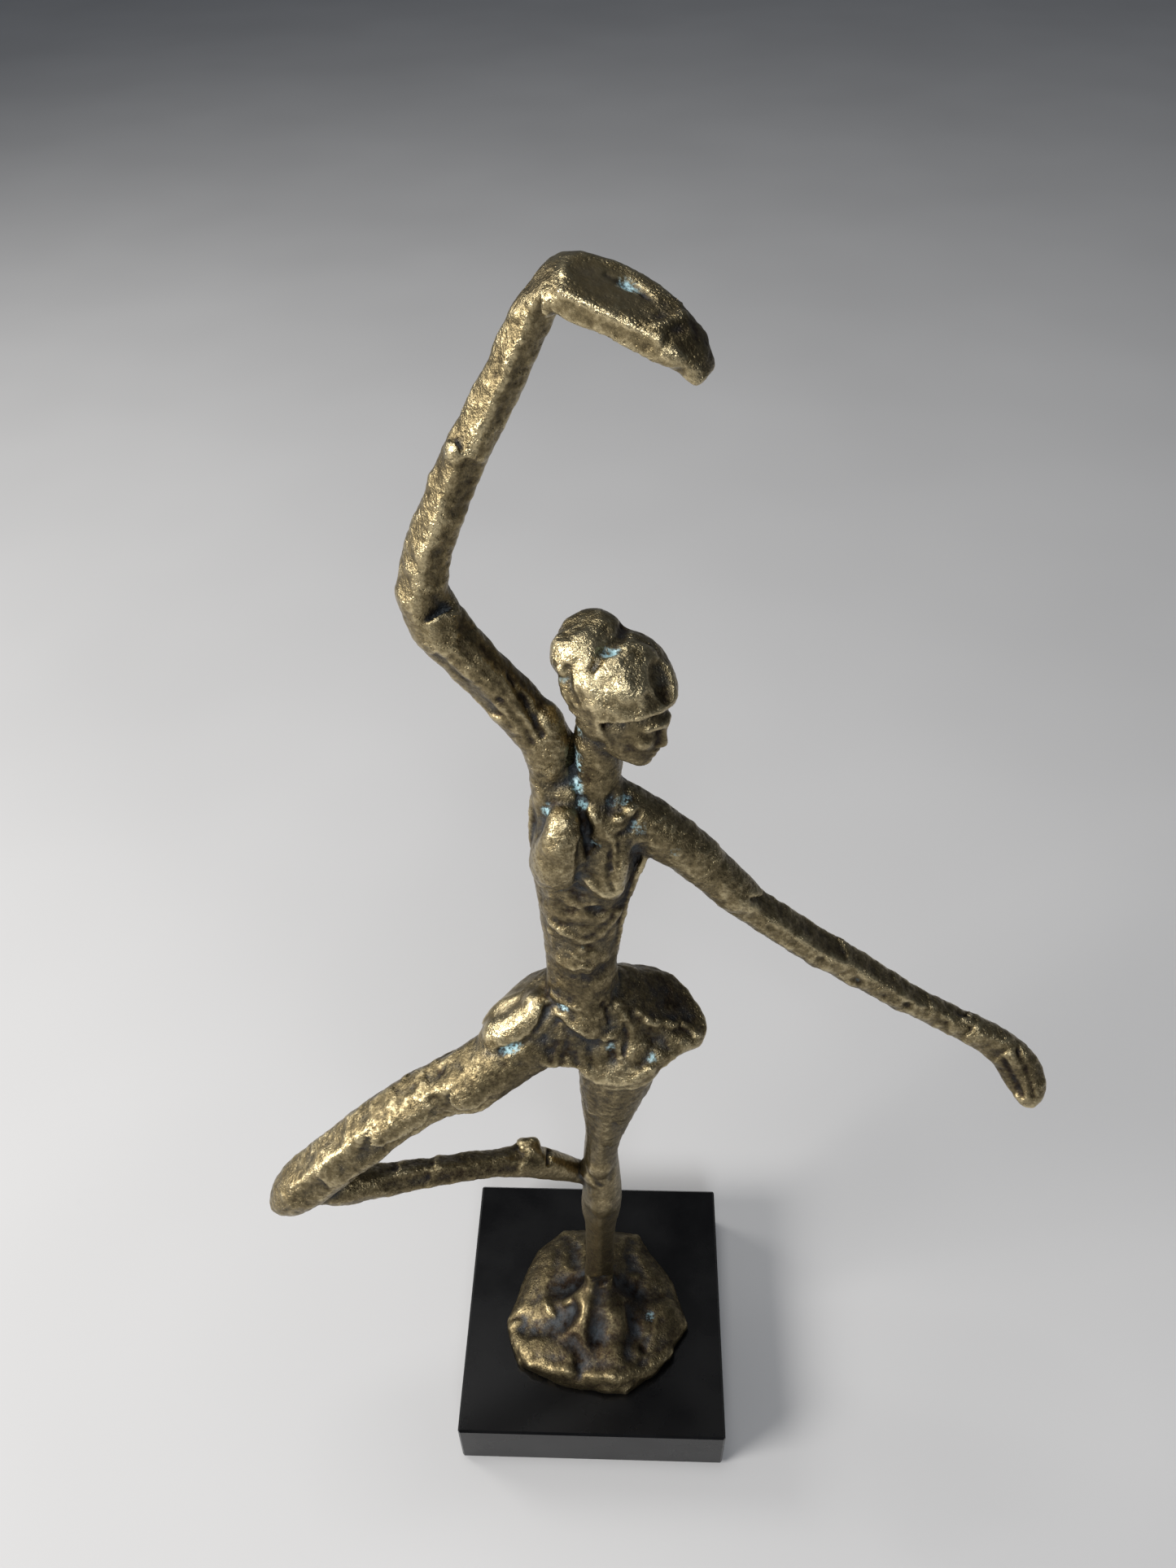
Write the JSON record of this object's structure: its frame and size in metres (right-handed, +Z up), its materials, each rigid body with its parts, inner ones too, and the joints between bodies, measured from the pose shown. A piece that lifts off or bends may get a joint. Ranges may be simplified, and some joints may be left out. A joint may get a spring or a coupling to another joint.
{
  "type": "bronze statuette",
  "caption": "Stylised cast bronze dancer balanced on one leg with one arm raised, mounted on a rock base and a square black plinth; a shelf ornament.",
  "frame": {"origin": "centre of the flat underside of the felt pad, on the surface the statuette stands on", "axes": "+Z up through the figure, -Y towards the front, +X towards the lowered arm, on the viewer's right"},
  "size_m": [0.2369, 0.1, 0.4352],
  "materials": {
    "bronze": "antiqued, worn bright on the high spots, with pale blue-green in the crevices",
    "black_stone": "satin polished",
    "felt": "matt felt",
    "zinc_steel": "bright zinc plated"
  },
  "bodies": {
    "root": {"felt_pad": "felt", "plinth": "black_stone", "anchor_stud": "zinc_steel", "anchor_washer": "zinc_steel", "anchor_nut": "zinc_steel", "rock_base": "bronze", "standing_leg": "bronze", "bent_thigh": "bronze", "bent_shin": "bronze", "skirt": "bronze", "torso": "bronze", "head": "bronze", "raised_arm": "bronze", "raised_hand": "bronze", "lowered_arm": "bronze", "lowered_hand": "bronze", "body_pins": "zinc_steel", "limb_pins": "zinc_steel"}
  },
  "joints": []
}
